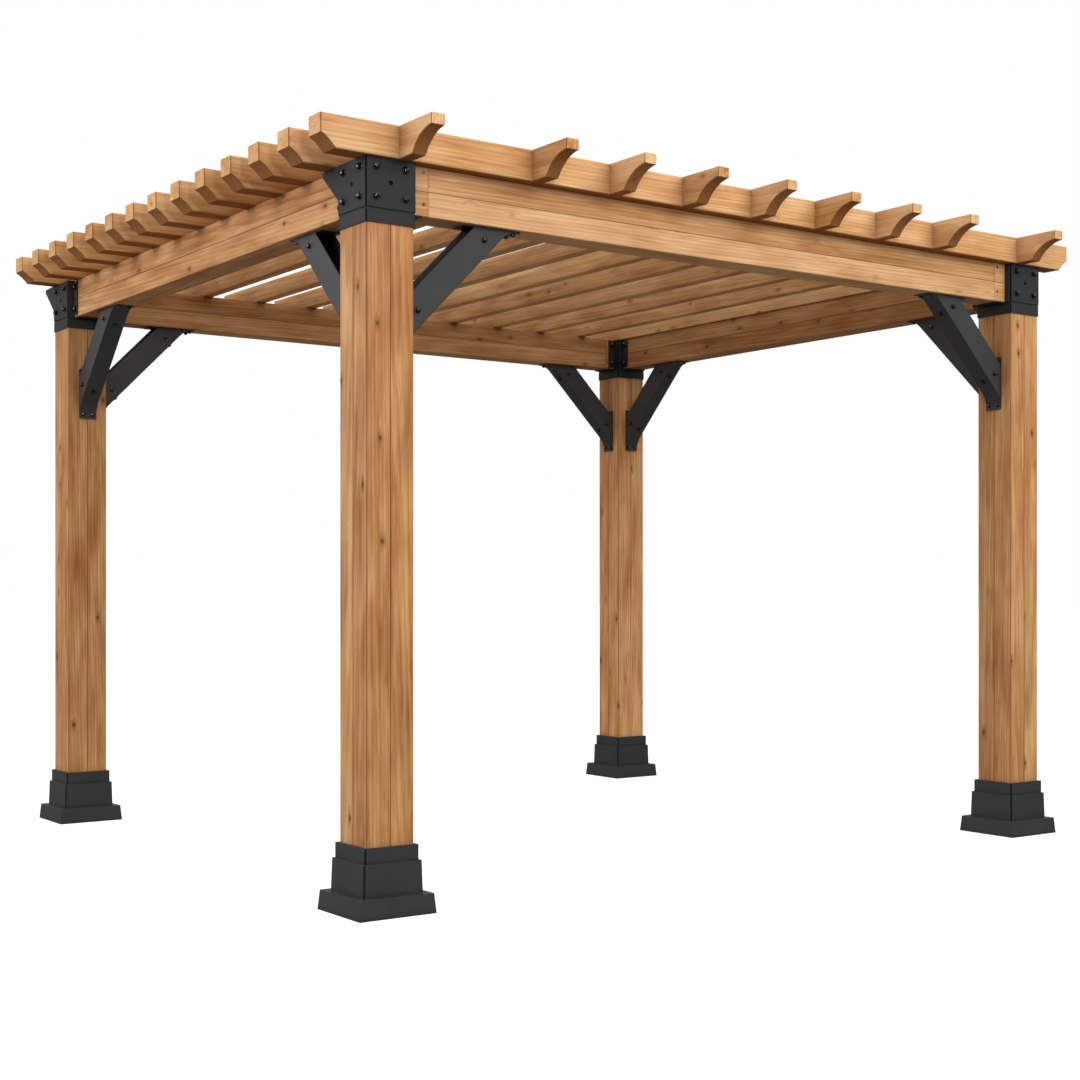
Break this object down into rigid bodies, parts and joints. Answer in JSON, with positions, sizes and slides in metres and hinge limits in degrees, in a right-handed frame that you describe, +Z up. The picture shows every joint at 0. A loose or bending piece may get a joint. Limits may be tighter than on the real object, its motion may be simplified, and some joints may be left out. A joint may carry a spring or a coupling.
{
  "type": "wooden pergola",
  "caption": "Square-post timber pergola with open rafter roof, shaped rafter ends, steel corner brackets, knee braces and stepped base covers.",
  "frame": {"origin": "on the ground, at the middle of the four posts", "axes": "+X to the right along the front, +Y from the front to the back, +Z up"},
  "size_m": [3.152, 2.864, 2.192],
  "materials": {
    "cedar_post": "satin",
    "cedar_beam": "satin",
    "cedar_rafter": "satin",
    "coated_steel": "satin",
    "coated_cover": "satin"
  },
  "bodies": {
    "root": {"post_front_left": "cedar_post", "post_front_right": "cedar_post", "post_back_left": "cedar_post", "post_back_right": "cedar_post", "base_cover_front_left": "coated_cover", "base_cover_front_right": "coated_cover", "base_cover_back_left": "coated_cover", "base_cover_back_right": "coated_cover", "corner_bracket_front_left": "coated_steel", "corner_bracket_front_right": "coated_steel", "corner_bracket_back_left": "coated_steel", "corner_bracket_back_right": "coated_steel", "beam_front": "cedar_beam", "beam_back": "cedar_beam", "beam_left": "cedar_beam", "beam_right": "cedar_beam", "knee_brace_front_left_long": "coated_steel", "knee_brace_front_left_short": "coated_steel", "knee_brace_front_right_long": "coated_steel", "knee_brace_front_right_short": "coated_steel", "knee_brace_back_left_long": "coated_steel", "knee_brace_back_left_short": "coated_steel", "knee_brace_back_right_long": "coated_steel", "knee_brace_back_right_short": "coated_steel", "rafter_1": "cedar_rafter", "rafter_2": "cedar_rafter", "rafter_3": "cedar_rafter", "rafter_4": "cedar_rafter", "rafter_5": "cedar_rafter", "rafter_6": "cedar_rafter", "rafter_7": "cedar_rafter", "rafter_8": "cedar_rafter", "rafter_9": "cedar_rafter", "rafter_10": "cedar_rafter", "rafter_11": "cedar_rafter", "rafter_12": "cedar_rafter", "front_board": "cedar_rafter", "rafter_tails_front": "cedar_rafter", "rafter_tails_left": "cedar_rafter", "rafter_tails_right": "cedar_rafter"}
  },
  "joints": []
}
